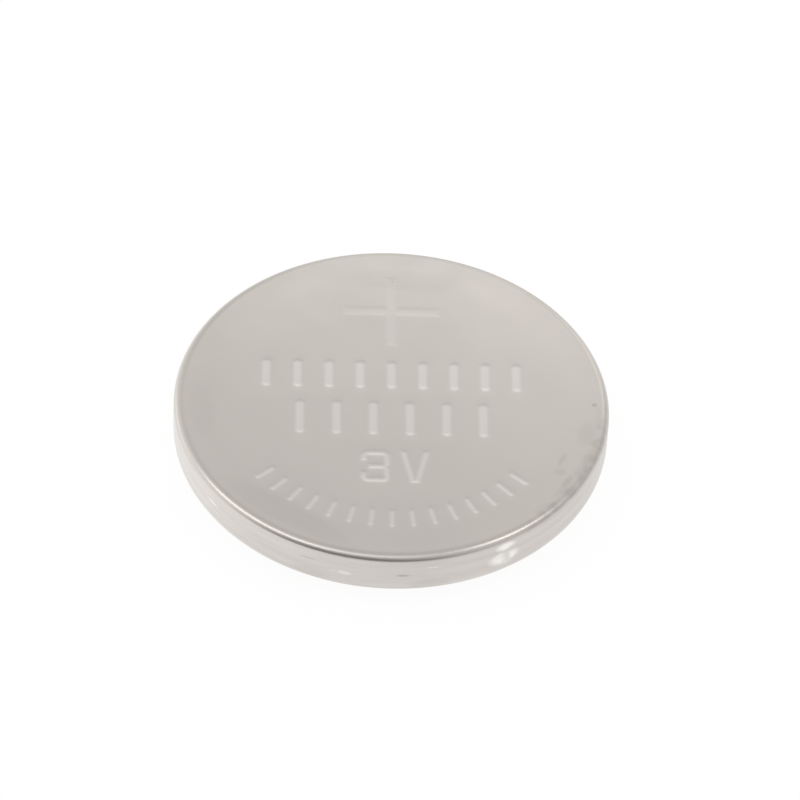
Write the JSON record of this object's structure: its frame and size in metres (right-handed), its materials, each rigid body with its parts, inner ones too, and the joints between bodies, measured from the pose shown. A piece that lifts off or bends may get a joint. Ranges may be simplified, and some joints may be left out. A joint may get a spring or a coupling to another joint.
{
  "type": "lithium coin cell",
  "caption": "Flat round lithium battery: a steel can crimped over a plastic gasket onto a stepped steel cap, around the electrode stack that powers a small device.",
  "frame": {"origin": "centre of the negative cap's outer face, on the surface that the cell lies on", "axes": "+Z out of the positive face, along the cell's axis; +Y from the centre towards the plus sign; +X to the right with the marks upright"},
  "size_m": [0.02, 0.02, 0.0032],
  "materials": {
    "can_steel": "satin, as drawn",
    "gasket_plastic": "moulded, slightly translucent",
    "cap_steel": "satin, as pressed",
    "lithium": "matte, rolled",
    "separator_fleece": "non-woven",
    "cathode_powder": "pressed powder",
    "collector_steel": "expanded and rolled"
  },
  "bodies": {
    "root": {"positive_can": "can_steel", "sealing_gasket": "gasket_plastic", "negative_cap": "cap_steel", "lithium_anode": "lithium", "separator": "separator_fleece", "cathode_pellet": "cathode_powder", "collector_mesh": "collector_steel"}
  },
  "joints": []
}
